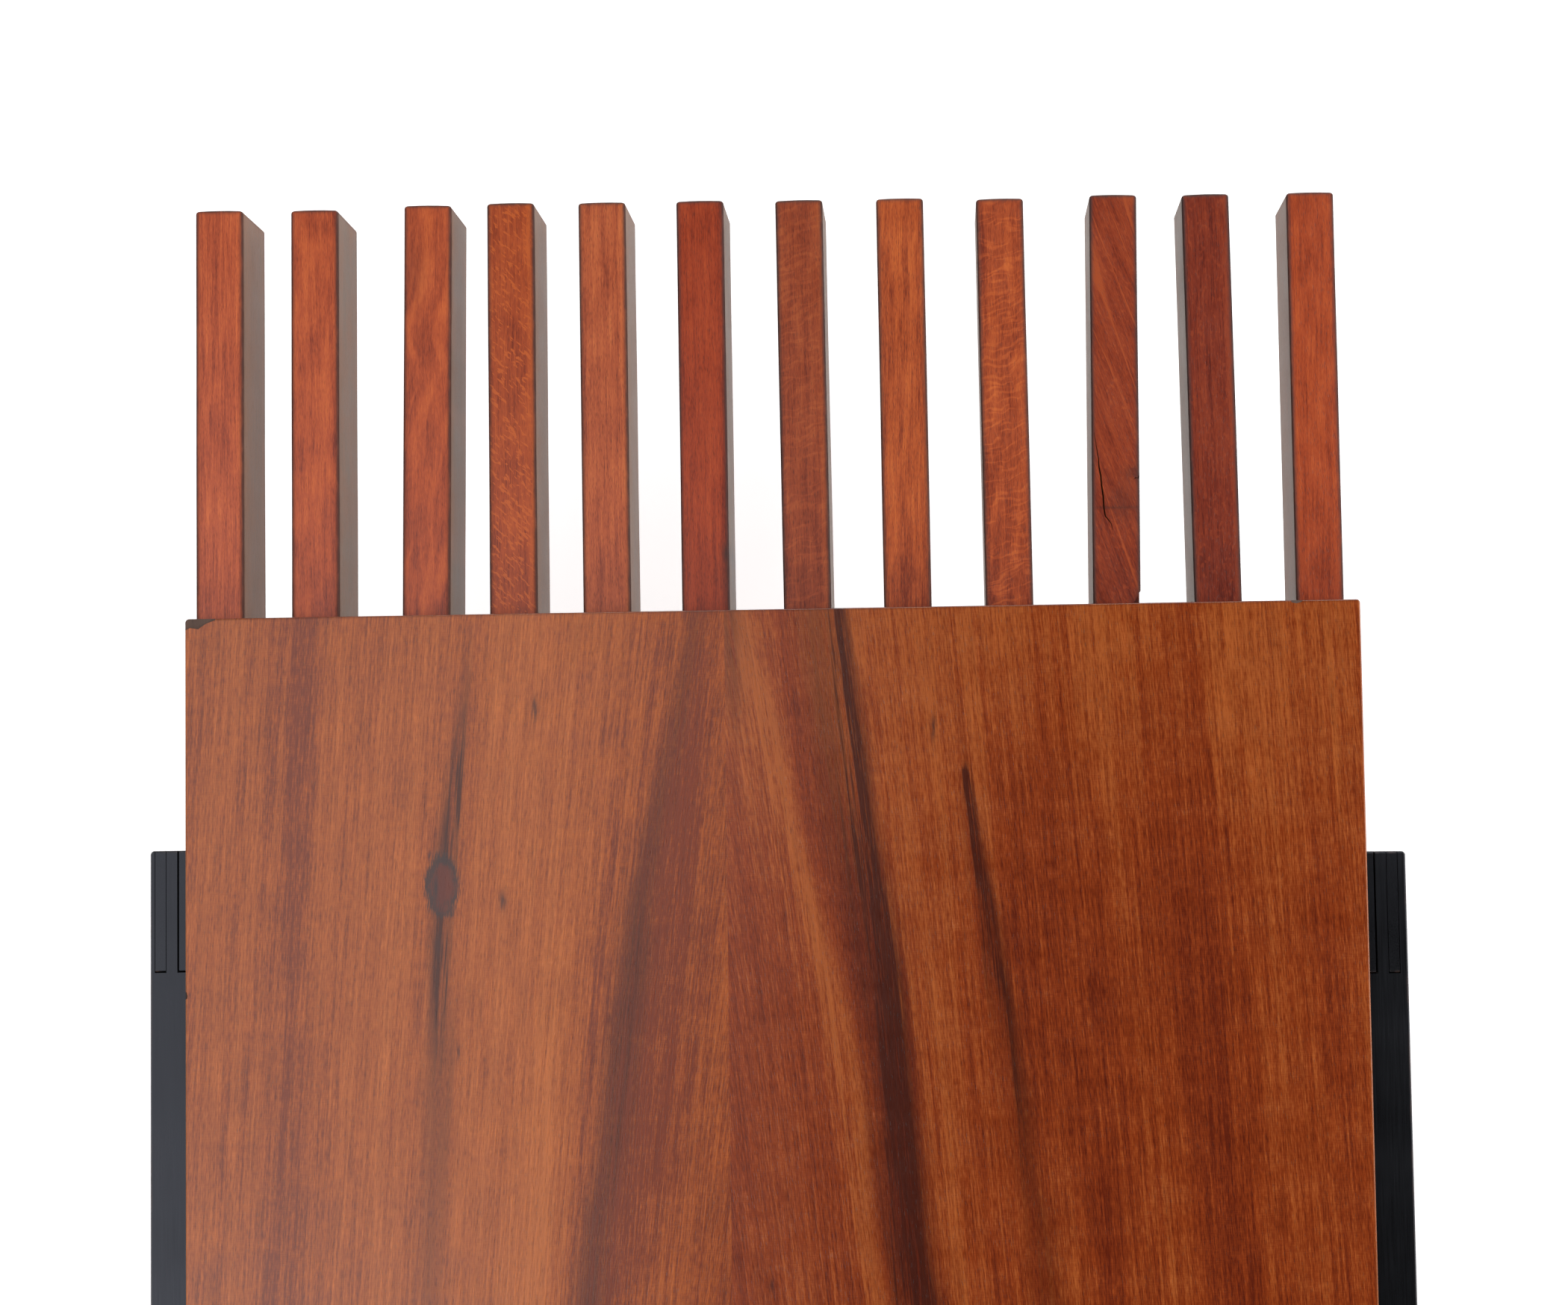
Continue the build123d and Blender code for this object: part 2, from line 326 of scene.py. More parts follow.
left_leaf = leaf_material(
    "veneer_left_leaf",
    side=-1,
    seed=2.0,
    tones=[(0.165, 0.024, 0.004), (0.305, 0.064, 0.008), (0.400, 0.102, 0.018)],
    pale_end=0.0,
    dark_tracks=[
        [(0, 14, 6, 0.30), (130, 42, 7, 0.50), (200, 53, 8, 0.65), (300, 67, 8, 0.50),
         (560, 104, 10, 0.6), (770, 128, 10, 0.35)],
        [(0, 130, 3, 0.0), (55, 135, 3, 0.6), (110, 142, 4.5, 1.2), (175, 147, 4.5, 1.2),
         (240, 150, 6, 0.45), (480, 160, 8, 0.25), (770, 170, 8, 0.1)],
    ],
    light_tracks=[
        [(0, 95, 22, 0.5), (350, 118, 22, 0.5), (770, 150, 22, 0.4)],
        [(0, 60, 12, 0.3), (200, 90, 10, 0.5), (350, 100, 10, 0.6), (770, 140, 14, 0.5)],
    ],
    red_tracks=[
        [(0, 214, 14, 0.8), (350, 230, 14, 0.7), (770, 250, 16, 0.6)],
        [(0, 15, 35, 0.3), (140, 20, 42, 0.6), (300, 25, 50, 0.6), (770, 60, 60, 0.4)],
        [(0, 14, 14, 0.5), (200, 48, 16, 1.0), (300, 60, 18, 0.9), (770, 128, 22, 0.6)],
    ],
    knots=[(145, 138, 7.0, 14.0)],
    marks=[(97, 48, 1.6, 4.5), (114, 146, 1.8, 4.5), (147, 168, 2.2, 7.0), (137, 222, 0.7, 4.0)],
)
right_leaf = leaf_material(
    "veneer_right_leaf",
    side=1,
    seed=31.0,
    tones=[(0.110, 0.012, 0.002), (0.210, 0.031, 0.004), (0.325, 0.078, 0.015)],
    pale_end=0.28,
    dark_tracks=[
        [(0, 3, 6, 0.55), (45, 4, 5, 0.35), (75, 5, 4, 0.0), (770, 5, 3, 0.0)],
        [(0, 59, 4, 0.9), (62, 66, 5, 1.1), (125, 73, 6, 1.2), (180, 81, 7, 1.2),
         (262, 88, 8, 1.2), (350, 96, 9, 1.1), (560, 116, 10, 0.9), (770, 138, 12, 0.5)],
        [(0, 46, 12, 0.40), (120, 62, 11, 0.50), (200, 74, 10, 0.45), (350, 90, 12, 0.45),
         (770, 120, 12, 0.1)],
        [(0, 112, 2, 0.1), (78, 122, 2, 0.2), (88, 123, 3, 1.2), (144, 131, 4.5, 1.2),
         (190, 139, 6, 1.0), (240, 147, 6, 0.7), (306, 156, 7, 0.45), (560, 186, 14, 0.3),
         (770, 210, 12, 0.1)],
    ],
    light_tracks=[
        [(0, 7, 6, 0.6), (43, 17, 6, 1.2), (124, 34, 6, 1.8), (189, 51, 7, 2.4), (250, 64, 7, 2.4),
         (350, 74, 7, 0.7), (770, 120, 8, 0.3)],
        [(0, 75, 9, 0.2), (180, 97, 8, 0.5), (350, 116, 10, 0.5), (770, 160, 12, 0.4)],
    ],
    red_tracks=[
        [(0, 235, 14, 0.8), (120, 239, 14, 0.8), (350, 252, 16, 0.8), (770, 275, 16, 0.6)],
        [(0, 30, 10, 1.6), (51, 36, 10, 1.8), (135, 56, 12, 1.8), (219, 76, 12, 1.4),
         (350, 90, 13, 1.0), (770, 124, 16, 0.5)],
        [(0, 5, 12, 0.1), (120, 14, 13, 0.2), (350, 26, 22, 0.2), (770, 60, 26, 0.3)],
        [(0, 170, 9, 0.5), (350, 192, 9, 0.5), (770, 222, 9, 0.4)],
    ],
    marks=[(20, 341, 1.0, 3.0), (106, 62, 1.2, 6.0)],
)


# ---------------------------------------------------------------- other woods and finishes
# painted shade: the darker colour that the slats' upright sides are drawn towards
side_shade_brown = (0.098, 0.058, 0.014)
# dark marks in the wood, and painted shade at slat_10's notch
mark_and_shade_brown = (0.035, 0.014, 0.012)
pith_right = -30.0  # middle of the growth rings, beside and below the slat's own middle
pith_up = -45.0


def slat_material(name, tone, seed, slope=0.0, streaks=0.7, flecks=0.0, fleck_slope=0.0,
                  flames=0.0, blotches=0.0, pores=0.25, waves=0.0, bands=0.0, strip=0.0,
                  strip_side=1, board_shade=0.12, spots=()):
    """One slat's lacquered wood, as a solid block with its own colour and figure.

    slope is how far the grain runs to the right for its length, and fleck_slope how far the ray
    flecks run to the left. There are amounts of lengthwise streaks, pale ray flecks, pale flames,
    dark blotches, dark pores, cross waves and bands, which are thin growth lines. strip lightens
    one edge, the right one if strip_side is 1, and foot is painted shade that darkens the part next
    to the board. A spot is a dark mark, in the wood or as painted shade: its place, half width,
    half length and strength."""
    g = Graph(name)
    across = g.x - g.y * slope
    depth = g.z
    sway = g.noise(g.y / 90.0, seed, 0.0).swing(6.0)
    rings = g.noise((across + depth * 0.35 + sway) / 2.6, g.y / 90.0, seed, 3.0)
    lines = g.noise((across + sway * 0.3) / 0.55, g.y / 18.0, depth / 0.6 + seed)
    fine = g.noise(across / 0.28, g.y / 3.0, depth / 0.3 + seed)
    broad = g.noise(across / 10.0, g.y / 26.0, depth / 20.0 + seed, 4.0)
    pore = 1.0 - g.dots(across / 0.8, g.y / 4.5, depth / 0.9 + seed).step(0.12, 0.32)

    shade = 0.5 + (rings.swing(1.1) + lines.swing(1.3)) * streaks + fine.swing(1.0)
    shade = shade + broad.swing(0.55 + blotches * 0.7)
    if flecks:
        slanted = g.x + g.y * fleck_slope
        rays = g.noise(slanted / 1.5, g.y / 3.0, depth / 4.0 + seed + 4.0, 1.0).step(0.58, 0.66)
        shade = shade + rays * (broad * 1.6 - 0.1) * flecks
    if flames:
        bend = g.noise(g.y / 50.0, seed + 8.0).swing(16.0)
        flame = g.noise((g.x + bend - g.y * 0.10) / 7.0, g.y / 60.0, seed + 6.0, 2.0)
        shade = shade + (flame.step(0.42, 0.66) - 0.45) * flames
    if waves:
        warp = g.noise(g.x / 12.0, g.y / 12.0, seed + 2.5) * 12.0
        ripple = g.noise(g.x / 12.0, (g.y - g.x * 0.3 + warp) / 1.9, seed + 2.0, 1.0)
        shade = shade + (ripple.step(0.48, 0.66) - 0.3) * (broad + 0.1) * waves
    if bands:
        contour = g.noise(across / 9.0, g.y / 160.0, seed + 9.0, 0.0).near(0.50, 0.014)
        shade = shade + contour * (broad * 1.4 - 0.1) * bands
    if strip:
        edge = (g.x * strip_side).step(slat_width * 0.28, slat_width * 0.40)
        shade = shade + edge * strip
    # painted shade: each slat is darkened within 75 mm of the board, where the board shades it
    board_shade_mask = 1.0 - (g.y.abs() - board_high.y).step(0.0, 75.0)
    shade = shade - board_shade_mask * (broad + 0.5) * board_shade
    dark = tint(tone, 0.42, 0.30, 0.42)
    light = tint(tone, 1.40, 1.75, 1.50)
    colour = g.ramp(shade, [(0.0, dark), (0.5, tone), (1.0, light)])
    colour = g.scaled(colour, 1.0 - pore * pores)

    facing = g.normal()
    upright = 1.0 - facing[2].abs()
    # painted shade: upright sides are drawn towards a darker brown than the top
    colour = g.mix(upright * 0.75, colour, side_shade_brown)
    # dark marks; slat_10's last spot is painted shade at its notch
    for x, y, half_width, half_length, strength in spots:
        across = (g.x + rings.swing(3.0)).near(x, half_width)
        lengthwise = (g.y + lines * 2.0).near(y, half_length)
        colour = g.mix(across * lengthwise * strength, colour, mark_and_shade_brown)
    end_grain = facing[1].abs().step(0.6, 0.8)
    right, up = g.x - pith_right, g.z - pith_up
    from_pith = (right * right + up * up).math("SQRT")
    end_rings = g.noise(from_pith / 1.6, g.x / 30.0, seed, 3.0)
    end_colour = g.ramp(end_rings + fine.swing(0.4), [(0.25, dark), (0.75, tone)])
    colour = g.mix(end_grain * 0.85, colour, end_colour)

    half = slat_width / 2
    low = (-half, -slat_length / 2, 0.0)
    high = (half, slat_length / 2, slat_depth)
    patchy = g.noise(g.x / 3.0, g.y / 9.0, g.z / 3.0 + seed) * 0.9 + 0.6
    worn = (edge_wear(g, low, high, 1.5) * patchy).least(0.95)
    colour = g.mix(worn, colour, tint(tone, 0.12))
    roughness = 0.34 + broad.swing(0.12) + fine.swing(0.12) + pore * 0.06
    roughness = roughness + upright * 0.12 + worn * 0.30
    height = lines.swing(0.020) + fine.swing(0.020) - pore * 0.020 + rings.swing(0.030)
    return g.finish(colour, roughness, height)


# Each slat's own wood, from left to right
slat_looks = [
    dict(tone=(0.405, 0.071, 0.022), seed=1.3, streaks=0.9, strip=0.1),
    dict(tone=(0.393, 0.066, 0.018), seed=2.7, blotches=0.8, strip=-0.15),
    dict(tone=(0.403, 0.069, 0.018), seed=3.9, streaks=0.4, flames=0.40, blotches=0.2, pores=0.12,
         spots=[(-6, 566, 6, 20, 0.25)]),
    dict(tone=(0.322, 0.050, 0.010), seed=5.1, flecks=1.5, fleck_slope=0.8, blotches=0.6,
         strip=0.25),
    dict(tone=(0.385, 0.079, 0.026), seed=6.2, blotches=0.3, pores=0.36, strip=0.2),
    dict(tone=(0.302, 0.038, 0.009), seed=7.7, pores=0.34, strip=-0.15,
         spots=[(11, 416, 2, 5, 0.9), (11, 402, 3, 12, 0.4)]),
    dict(tone=(0.262, 0.047, 0.015), seed=8.4, waves=0.35, pores=0.34, strip=0.25),
    dict(tone=(0.395, 0.074, 0.017), seed=9.6, slope=0.03, streaks=0.9, pores=0.36, board_shade=0.28),
    dict(tone=(0.378, 0.067, 0.017), seed=11.1, streaks=0.5, flames=0.25, waves=0.45, strip=-0.18,
         strip_side=-1),
    # slat_10: its last spot, at the notch, is painted shade
    dict(tone=(0.243, 0.034, 0.009), seed=12.5, slope=-0.36, flecks=0.3, fleck_slope=0.5, bands=1.3,
         blotches=0.3, board_shade=0.2, spots=[(4, 440, 8, 10, 0.35), (9, 455, 5, 4, 0.45),
                                        (0, 437, 14, 0.8, 0.5), (12.5, 386, 3.5, 7, 0.95)]),
    dict(tone=(0.180, 0.022, 0.007), seed=13.8, streaks=1.0, flecks=0.5, strip=0.4),
    dict(tone=(0.340, 0.050, 0.011), seed=15.2, blotches=0.5, pores=0.36),
]


def plain_wood(name, tone, seed, along="y", gloss=0.5):
    """A simpler solid wood, with its grain along x or y, for parts that are hardly seen."""
    g = Graph(name)
    length, width = (g.y, g.x) if along == "y" else (g.x, g.y)
    rings = g.noise((width + g.z * 0.6) / 3.0, length / 160.0, seed, 3.0)
    lines = g.noise(width / 0.6, length / 40.0, g.z / 0.6 + seed)
    pore = 1.0 - g.dots(width / 0.9, length / 6.0, g.z / 0.9 + seed).step(0.08, 0.22)
    shade = 0.5 + rings.swing(0.7) + lines.swing(0.5)
    colour = g.ramp(shade, [(0.0, tint(tone, 0.45)), (0.5, tone), (1.0, tint(tone, 1.35))])
    colour = g.scaled(colour, 1.0 - pore * 0.4)
    roughness = 0.75 - gloss * 0.6 + lines.swing(0.15)
    height = lines.swing(0.04) - pore * 0.03
    return g.finish(colour, roughness, height)


def lacquer(name, node):
    """Black lacquer that shows the grain below it, rubbed a little brown along the edges."""
    g = Graph(name)
    low, high = (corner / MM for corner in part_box(node))
    along = "z" if node.endswith("_leg") else "x" if "cross" in node else "y"
    spread = {"x": (30.0, 0.7, 0.7), "y": (0.7, 30.0, 0.7), "z": (0.7, 0.7, 30.0)}[along]
    lines = g.noise(*(place / size for place, size in zip((g.x, g.y, g.z), spread)))
    cloud = g.noise(g.x / 45.0, g.y / 45.0, g.z / 45.0, 4.0)
    scuff = g.noise(g.x / 5.0, g.y / 14.0, g.z / 5.0, 4.0)
    worn = edge_wear(g, low, high, 0.8) * scuff.step(0.45, 0.70)
    colour = g.mix(cloud, (0.0010, 0.0010, 0.0010), (0.0030, 0.0030, 0.0030))
    colour = g.mix(worn * 0.7, colour, (0.085, 0.045, 0.030))
    roughness = 0.30 + cloud.swing(0.16) + lines.swing(0.14) + worn * 0.2
    height = lines.swing(0.03)
    return g.finish(colour, roughness, height, specular_tint=(0.80, 0.84, 1.0, 1.0))


def metal(name, tone):
    """Zinc-plated steel with turning marks and dull patches."""
    g = Graph(name)
    cloud = g.noise(g.x / 1.6, g.y / 1.6, g.z / 1.6, 4.0)
    marks = g.noise(g.x / 4.0, g.y / 4.0, g.z / 0.12)
    colour = g.ramp(cloud, [(0.25, tint(tone, 0.6)), (0.65, tone)])
    roughness = 0.28 + cloud * 0.22
    return g.finish(colour, roughness, marks.swing(0.01), metallic=1.0)


def nylon(name):
    """Off-white moulded nylon, dirty where it meets the floor."""
    g = Graph(name)
    cloud = g.noise(g.x / 3.0, g.y / 3.0, g.z / 3.0, 4.0)
    dirt = (1.0 - g.z.step(0.3, 2.5)) * cloud
    colour = g.mix(cloud, (0.66, 0.63, 0.55), (0.74, 0.72, 0.66))
    colour = g.mix(dirt, colour, (0.18, 0.16, 0.13))
    grain = g.noise(g.x / 0.2, g.y / 0.2, g.z / 0.2)
    return g.finish(colour, 0.45 + cloud.swing(0.2), grain.swing(0.02))


def assign(material, *nodes):
    """Give CAD nodes a material, in every slot."""
    for node in nodes:
        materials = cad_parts[node].data.materials
        materials.clear()
        materials.append(material)


lipping_along = plain_wood("lipping_along_board", (0.150, 0.040, 0.014), 3.0)
lipping_across = plain_wood("lipping_across_board", (0.150, 0.040, 0.014), 4.0, "x")
assign(left_leaf, "left_face_veneer")
assign(right_leaf, "right_face_veneer")
assign(lipping_along, "left_lipping", "right_lipping")
assign(lipping_across, "front_lipping", "back_lipping")
assign(plain_wood("core_wood", (0.42, 0.27, 0.14), 5.0, gloss=0.1), "board_core")
assign(plain_wood("backing_wood", (0.30, 0.13, 0.06), 6.0, gloss=0.2), "backing_veneer")
assign(plain_wood("dowel_wood", (0.55, 0.38, 0.20), 7.0, "x", gloss=0.1), "cross_rail_dowels")
assign(metal("screw_steel", (0.42, 0.41, 0.39)), "slat_screws", "board_screws", "glide_nails")
assign(nylon("glide_nylon"), "foot_glides")
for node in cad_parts:
    if node.endswith(("_rail", "_leg")):
        assign(lacquer(f"lacquer_{node}", node), node)


# ---------------------------------------------------------------- slats
arris = 0.9  # radius of a slat's long edges
end_corner = 1.7  # and of its corners seen from above
end_crown = 0.35  # how far the middle of an end stands out past its corners
crown_reach = 12.0  # length of slat over which the crown fades out
end_play = 0.02  # keeps the ends inside the CAD slat
side_wave = 0.14  # how far the sides and the faces are out of true
face_wave = 0.10
arc_steps = 4  # faces round an arris
face_points = 3  # points between two arrises
end_steps = 8  # outlines round an end's corner, after the first
station_gap = 18.0  # distance between outlines along a slat
end_zone = 5.0  # length of an end by which its middle is found


def corner_arc(centre_x, centre_z, start):
    """Points of a quarter circle of the arris, from this angle round towards the next face."""
    steps = [start - math.pi / 2 * step / arc_steps for step in range(arc_steps + 1)]
    return [(centre_x + arris * math.cos(a), centre_z + arris * math.sin(a)) for a in steps]


def section(half_width, bottom, top):
    """A slat's outline seen from its end: four arrises joined by subdivided faces."""
    x, low, high = half_width - arris, bottom + arris, top - arris
    corners = [
        corner_arc(-x, high, math.pi),
        corner_arc(x, high, math.pi / 2),
        corner_arc(x, low, 0.0),
        corner_arc(-x, low, -math.pi / 2),
    ]
    points = []
    for arc, following in zip(corners, corners[1:] + corners[:1]):
        points += arc
        (x0, z0), (x1, z1) = arc[-1], following[0]
        parts = [step / (face_points + 1) for step in range(1, face_points + 1)]
        points += [(x0 + (x1 - x0) * part, z0 + (z1 - z0) * part) for part in parts]
    return points


def stations():
    """Places along a slat, each with how far the outline is drawn in across and in height."""
    half = slat_length / 2 - end_play
    ends = []
    for step in range(end_steps + 1):
        back = end_corner * (1 - math.cos(math.pi / 2 * step / end_steps))
        inset = end_corner - math.sqrt(end_corner**2 - (end_corner - back) ** 2)
        reach = max(arris - back, 0.0)
        drop = arris - math.sqrt(arris**2 - reach**2)
        ends.append((half - back, inset, drop))
    inner = half - 3 * end_corner
    count = round(2 * inner / station_gap)
    middle = [(-inner + 2 * inner * step / count, 0.0, 0.0) for step in range(count + 1)]
    return [(-y, inset, drop) for y, inset, drop in ends] + middle + ends[::-1]


def slat_body(seed):
    """The slat's outline carried along its length, with the slight unevenness of hand work."""
    bm = bmesh.new()
    rings = []
    for y, inset, drop in stations():
        ring = []
        for x, z in section(slat_width / 2 - inset, drop, slat_depth - drop):
            wave = noise.noise(Vector((math.copysign(3.0, x), y / 85.0, seed)))
            sag = noise.noise(Vector((9.0, y / 60.0, seed + z / 40.0)))
            crown = end_crown * (2 * x / slat_width) ** 2
            fade = max(0.0, 1 - (slat_length / 2 - abs(y)) / crown_reach)
            push = crown * math.copysign(fade, y)
            place = (x + side_wave * wave, y - push, z - face_wave * abs(sag))
            ring.append(bm.verts.new(place))
        rings.append(ring)
    count = len(rings[0])
    for first, second in zip(rings, rings[1:]):
        for i in range(count):
            j = (i + 1) % count
            bm.faces.new((first[i], first[j], second[j], second[i]))
    for ring, outward in ((rings[0], False), (rings[-1], True)):
        face = face_points + 1
        opposite = 2 * (arc_steps + face)
        top = ring[arc_steps:arc_steps + face + 1]
        low = ring[opposite + arc_steps:opposite + arc_steps + face + 1][::-1]
        strips = [(top[i], top[i + 1], low[i + 1], low[i]) for i in range(face)]
        strips.append(tuple(ring[arc_steps + face:opposite + arc_steps + 1]))
        strips.append(tuple(ring[opposite + arc_steps + face:] + ring[:arc_steps + 1]))
        for strip in strips:
            bm.faces.new(strip if outward else strip[::-1])
    bmesh.ops.recalc_face_normals(bm, faces=bm.faces)
    return bm


def add_turned(bm, x, y, profile):
    """Add a solid turned about an upright axis. profile is (radius, height) from the bottom up."""
    around = 32
    rings = []
    angles = [2 * math.pi * step / around for step in range(around)]
    for radius, z in profile:
        circle = [(x + radius * math.cos(a), y + radius * math.sin(a)) for a in angles]
        rings.append([bm.verts.new((*point, z)) for point in circle])
    for first, second in zip(rings, rings[1:]):
        for i in range(around):
            j = (i + 1) % around
            bm.faces.new((first[i], first[j], second[j], second[i]))
    bm.faces.new(rings[0][::-1])
    bm.faces.new(rings[-1])


def add_prism(bm, outline, bottom, top):
    """Add an upright prism on an outline of (x, y) points that runs anticlockwise."""
    low = [bm.verts.new((x, y, bottom)) for x, y in outline]
    high = [bm.verts.new((x, y, top)) for x, y in outline]
    count = len(outline)
    for i in range(count):
        j = (i + 1) % count
        bm.faces.new((low[i], low[j], high[j], high[i]))
    bm.faces.new(low[::-1])
    bm.faces.new(high)


def add_crack(bm, path, width, depth, top):
    """Add a thin wedge that narrows downwards and towards both ends of a path of (x, y) points."""
    thinnest = 0.25
    rim = top + 0.5
    rows = []
    for i, (x, y) in enumerate(path):
        before, after = path[max(i - 1, 0)], path[min(i + 1, len(path) - 1)]
        along = (Vector(after) - Vector(before)).normalized()
        fade = thinnest + (1 - thinnest) * math.sin(math.pi * i / (len(path) - 1))
        side = Vector((-along.y, along.x)) * width * fade / 2
        rows.append([
            bm.verts.new((x + side.x, y + side.y, rim)),
            bm.verts.new((x, y, top - depth * fade)),
            bm.verts.new((x - side.x, y - side.y, rim)),
        ])
    for first, second in zip(rows, rows[1:]):
        for i in range(3):
            j = (i + 1) % 3
            bm.faces.new((first[i], second[i], second[j], first[j]))
    bm.faces.new(rows[0])
    bm.faces.new(rows[-1][::-1])


def to_object(bm, name, material):
    """Turn a bmesh in millimetres into an object in metres."""
    bmesh.ops.transform(bm, matrix=Matrix.Scale(MM, 4), verts=bm.verts)
    bmesh.ops.recalc_face_normals(bm, faces=bm.faces)
    mesh = bpy.data.meshes.new(name)
    bm.to_mesh(mesh)
    bm.free()
    mesh.materials.append(material)
    piece = bpy.data.objects.new(name, mesh)
    scene.collection.objects.link(piece)
    return piece


def cut(piece, cutter_bm, material):
    """Take the cutter's solids out of a piece. The cut faces get this material."""
    cutter = to_object(cutter_bm, "cutter", material)
    cutter.matrix_world = piece.matrix_world
    boolean = piece.modifiers.new("cut", "BOOLEAN")
    boolean.operation = "DIFFERENCE"
    boolean.solver = "EXACT"
    boolean.material_mode = "TRANSFER"
    boolean.object = cutter
    bpy.context.view_layer.update()
    depsgraph = bpy.context.evaluated_depsgraph_get()
    mesh = bpy.data.meshes.new_from_object(piece.evaluated_get(depsgraph))
    piece.modifiers.clear()
    piece.data = mesh
    bpy.data.objects.remove(cutter)


sharp_angle = math.radians(32.0)


def shade(piece):
    """Smooth over the arrises, with the flat faces kept flat and sharper edges kept sharp."""
    for polygon in piece.data.polygons:
        polygon.use_smooth = True
    piece.data.set_sharp_from_angle(angle=sharp_angle)
    weighted = piece.modifiers.new("weighted", "WEIGHTED_NORMAL")
    weighted.keep_sharp = True


def slat_line(node):
    """A slat's middle, how much further right its back end is, and how far back it sits."""
    places = [vertex.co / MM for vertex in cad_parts[node].data.vertices]
    middles = []
    for end in (-1, 1):
        here = [place.x for place in places if place.y * end > slat_length / 2 - end_zone]
        middles.append((min(here) + max(here)) / 2)
    ends = [place.y for place in places]
    return sum(middles) / 2, (middles[1] - middles[0]) / 2, (min(ends) + max(ends)) / 2


screw_hole = 2.25  # radii and depths of the screws' holes
head_hole = 4.0
head_radius = 3.9
countersink = 1.75
counterbore_radius = 4.5
counterbore_depth = 14.0
board_screw_slats = ("slat_02", "slat_07", "slat_11")
screw_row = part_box("slat_screws")[1].y / MM - head_radius
board_screw_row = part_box("board_screws")[1].y / MM - head_radius
crack = [(-11.0, 475), (-9.9, 468), (-8.8, 461), (-8.6, 457), (-7.8, 453), (-7.3, 447), (-6.6, 442),
         (-6.3, 436), (-5.6, 431.5), (-3.9, 429.5), (-2.6, 427.5), (-1.8, 424)]
side_crack = [(9.0, 450.5), (10.5, 451.5), (11.4, 451), (12.8, 455)]
notch = [(6.5, 380), (13.5, 380), (13.5, 394.0), (12.0, 392.5), (8.6, 386.6)]
notch_depth = 9.0

for node, look in zip(slat_names, slat_looks):
    middle, skew, shift = slat_line(node)
    material = slat_material(f"{node}_wood", **look)
    piece = to_object(slat_body(look["seed"]), f"{node}_bar", material)
    piece.location = (middle * MM, shift * MM, slat_low.z * MM)
    piece.rotation_euler = (0.0, 0.0, -math.atan(skew / (slat_length / 2)))
    bpy.context.view_layer.update()
    cutters = bmesh.new()
    for end in (-1, 1):
        y = end * screw_row - shift
        add_turned(cutters, 0.0, y, [
            (screw_hole, -spare),
            (screw_hole, slat_depth - countersink),
            (head_hole, slat_depth),
            (head_hole, slat_depth + spare),
        ])
        if node in board_screw_slats:
            y = end * board_screw_row - shift
            add_turned(cutters, 0.0, y, [
                (counterbore_radius, -spare),
                (counterbore_radius, counterbore_depth),
                (screw_hole, counterbore_depth),
                (screw_hole, slat_depth + spare),
            ])
    if node == "slat_10":
        add_crack(cutters, crack, width=0.95, depth=4.0, top=slat_depth)
        add_crack(cutters, side_crack, width=0.7, depth=3.0, top=slat_depth)
        add_prism(cutters, notch, slat_depth - notch_depth, slat_depth + spare)
    cut(piece, cutters, material)
    shade(piece)
    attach(piece, "root")
    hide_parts(node)


# ---------------------------------------------------------------- chipped board edges
chip_depth = 0.55
chip_wood = plain_wood("chipped_wood", (0.090, 0.050, 0.036), 8.0, gloss=0.0)
weld_distance = 0.002


def chipped(node, name, outlines):
    """A copy of one leaf of the veneer with shallow chips out of its edge."""
    bm = bmesh.new()
    bm.from_mesh(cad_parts[node].data)
    bmesh.ops.transform(bm, matrix=Matrix.Scale(1 / MM, 4), verts=bm.verts)
    bmesh.ops.remove_doubles(bm, verts=bm.verts, dist=weld_distance)
    piece = to_object(bm, name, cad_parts[node].data.materials[0])
    cutters = bmesh.new()
    for outline in outlines:
        add_prism(cutters, outline, board_high.z - chip_depth, board_high.z + spare)
    cut(piece, cutters, chip_wood)
    shade(piece)
    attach(piece, "root")
    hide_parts(node)


corner_chip = [(-301, 378.6), (-297.4, 380.4), (-293.2, 379.7), (-289.5, 382.3), (-284.6, 384.2),
               (-284.2, 386), (-301, 386)]
back_chip = [(264.8, 383.9), (267.5, 383.3), (270.4, 384.2), (270.6, 386), (264.6, 386)]
left_chip = [(-301, 191.0), (-299.1, 192.0), (-298.8, 193.5), (-299.2, 195.2), (-301, 196.0)]
chipped("left_face_veneer", "left_leaf", [corner_chip, left_chip])
chipped("right_face_veneer", "right_leaf", [back_chip])

# ---------------------------------------------------------------- camera
# Fitted to the outlines of board, slats and side frames in the photo
camera_place = (0.0833, 0.262)
camera_height = 1.1266  # above the board's face
camera_tilt = (math.radians(2.727), 0.0, math.radians(-0.988))
camera_data = bpy.data.cameras.new("camera")
camera_data.sensor_width = 36.0
camera_data.lens = 50.88
camera_data.shift_x = -0.0995
camera_data.shift_y = 0.057
camera_data.clip_end = 100.0
camera = bpy.data.objects.new("camera", camera_data)
camera.location = (*camera_place, board_high.z * MM + camera_height)
camera.rotation_euler = camera_tilt
scene.collection.objects.link(camera)
scene.camera = camera

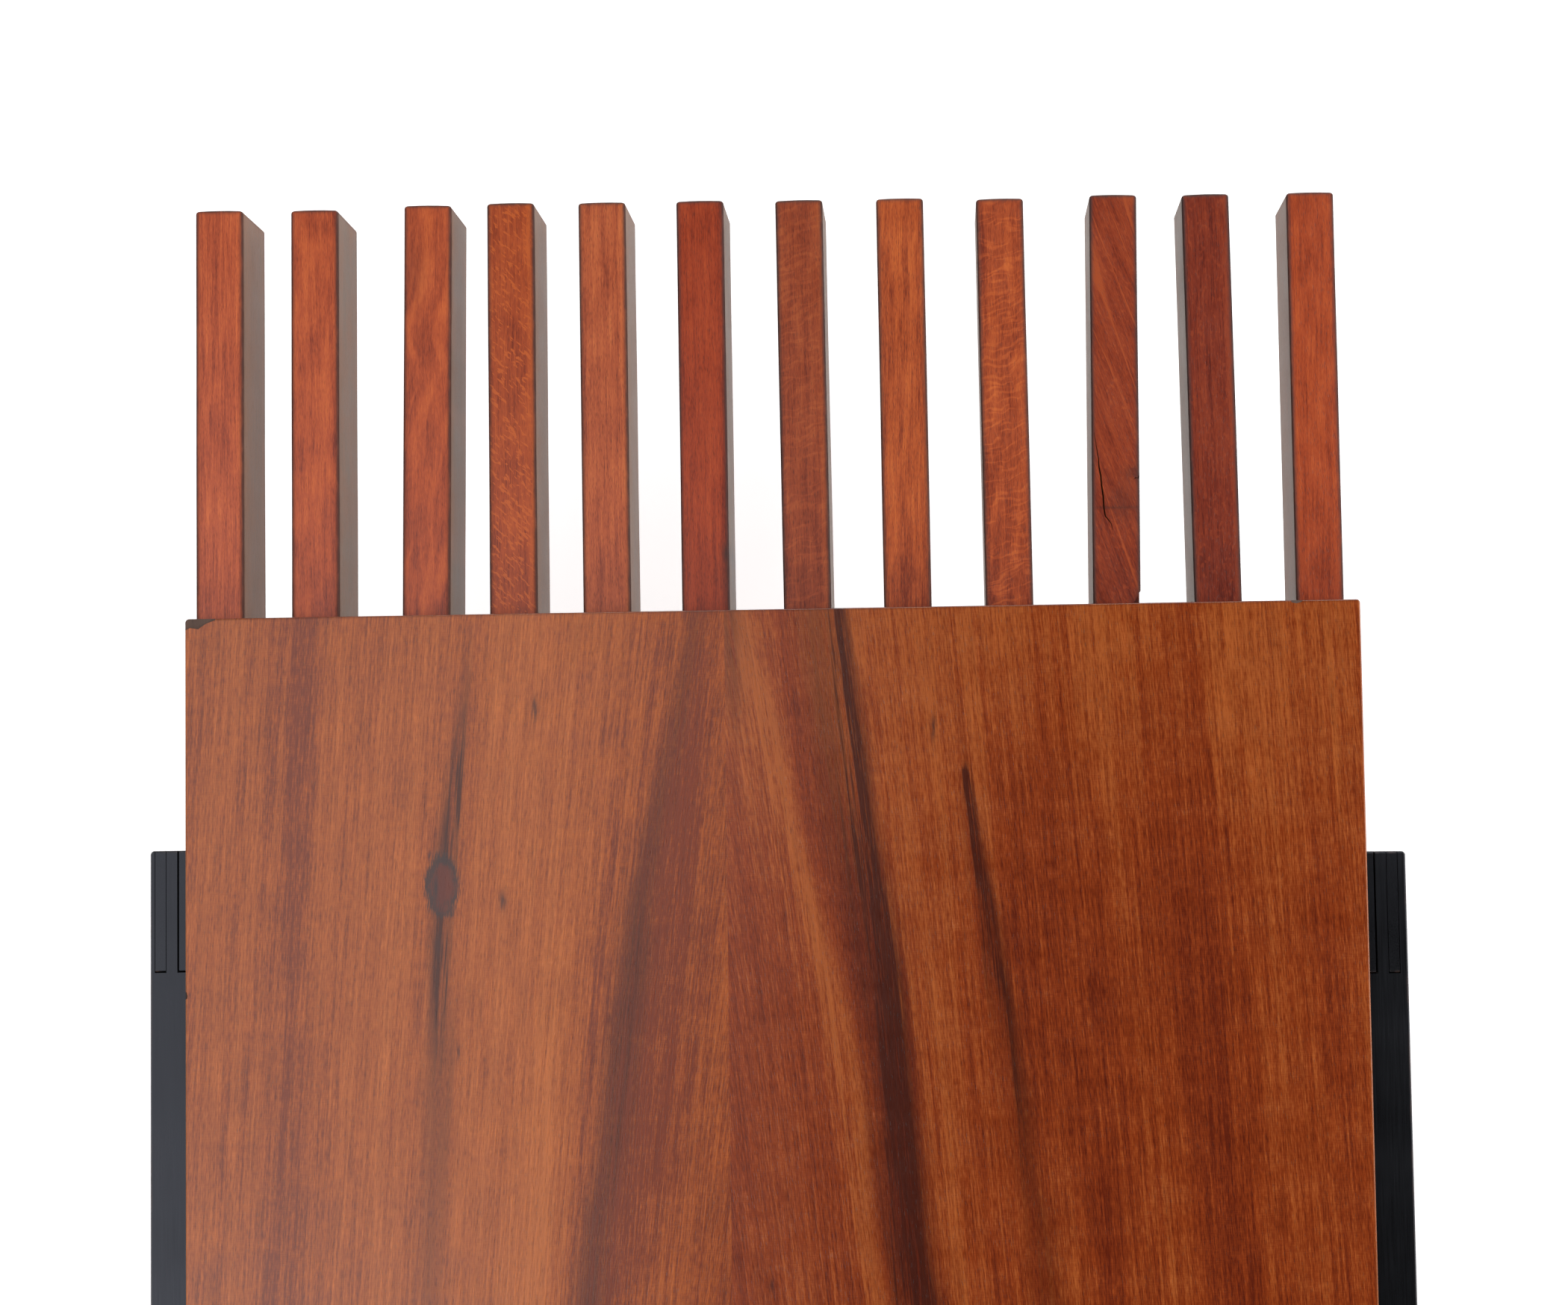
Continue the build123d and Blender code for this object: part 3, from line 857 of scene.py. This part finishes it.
# ---------------------------------------------------------------- floor, lights and surroundings
floor_half = 30.0  # half the side of a square that reaches to the horizon
floor_mesh = bpy.data.meshes.new("floor")
floor_corners = [
    (x * floor_half, y * floor_half, 0.0) for x, y in ((-1, -1), (1, -1), (1, 1), (-1, 1))
]
floor_mesh.from_pydata(floor_corners, [], [(0, 1, 2, 3)])
floor = bpy.data.objects.new("floor", floor_mesh)
scene.collection.objects.link(floor)
floor_graph = Graph("floor_paint")
floor_speckle = floor_graph.noise(floor_graph.x / 40.0, floor_graph.y / 40.0, 0.0, 3.0)
floor_colour = floor_graph.mix(floor_speckle, (0.86, 0.86, 0.86), (0.90, 0.90, 0.90))
floor_mesh.materials.append(
    floor_graph.finish(floor_colour, 0.9 + floor_speckle.swing(0.1), floor_speckle.swing(0.05),
                       emission_color=(1.0, 1.0, 1.0, 1.0), emission_strength=0.45)
)


def area_light(name, place, target, size, radiance, turn=0.0):
    """A soft rectangular light of a given brightness, aimed at a point and turned in its plane."""
    data = bpy.data.lights.new(name, "AREA")
    data.shape = "RECTANGLE"
    data.size, data.size_y = size
    data.energy = radiance * math.pi * size[0] * size[1]
    light = bpy.data.objects.new(name, data)
    light.location = place
    aim = (Vector(place) - Vector(target)).to_track_quat("Z", "Y")
    light.rotation_euler = (aim @ Quaternion((0.0, 0.0, 1.0), math.radians(turn))).to_euler()
    scene.collection.objects.link(light)


area_light("upper_left_panel", place=(-1.20, -0.10, 2.45), target=(-1.20, -0.10, 0.0),
           size=(1.7, 2.2), radiance=1.6, turn=-15.0)
area_light("lower_left_panel", place=(-1.30, -0.85, 2.40), target=(-1.30, -0.85, 0.0),
           size=(1.8, 1.2), radiance=0.8)
area_light("right_panel", place=(2.6, 0.6, 2.2), target=(0.0, 0.1, 0.38),
           size=(2.0, 2.4), radiance=4.9)
area_light("far_panel", place=(0.2, 3.4, 2.0), target=(0.0, 0.2, 0.38),
           size=(3.0, 1.6), radiance=4.9)
area_light("near_panel", place=(0.2, -3.4, 2.0), target=(0.0, 0.0, 0.38),
           size=(3.0, 1.6), radiance=4.9)

world = bpy.data.worlds.new("world")
world.use_nodes = True
background = world.node_tree.nodes["Background"]
direction = world.node_tree.nodes.new("ShaderNodeTexCoord")
height = world.node_tree.nodes.new("ShaderNodeSeparateXYZ")
falloff = world.node_tree.nodes.new("ShaderNodeMapRange")
world.node_tree.links.new(direction.outputs["Generated"], height.inputs[0])
world.node_tree.links.new(height.outputs["Z"], falloff.inputs["Value"])
world.node_tree.links.new(falloff.outputs["Result"], background.inputs["Strength"])
background.inputs["Color"].default_value = (1.0, 1.0, 1.0, 1.0)
# The sky is pale at the horizon and dims between these heights, which are sines of the elevation
sky_fade = {"From Min": 0.04, "From Max": 0.34, "To Min": 0.55, "To Max": 0.03}
for name, value in sky_fade.items():
    falloff.inputs[name].default_value = value
scene.world = world
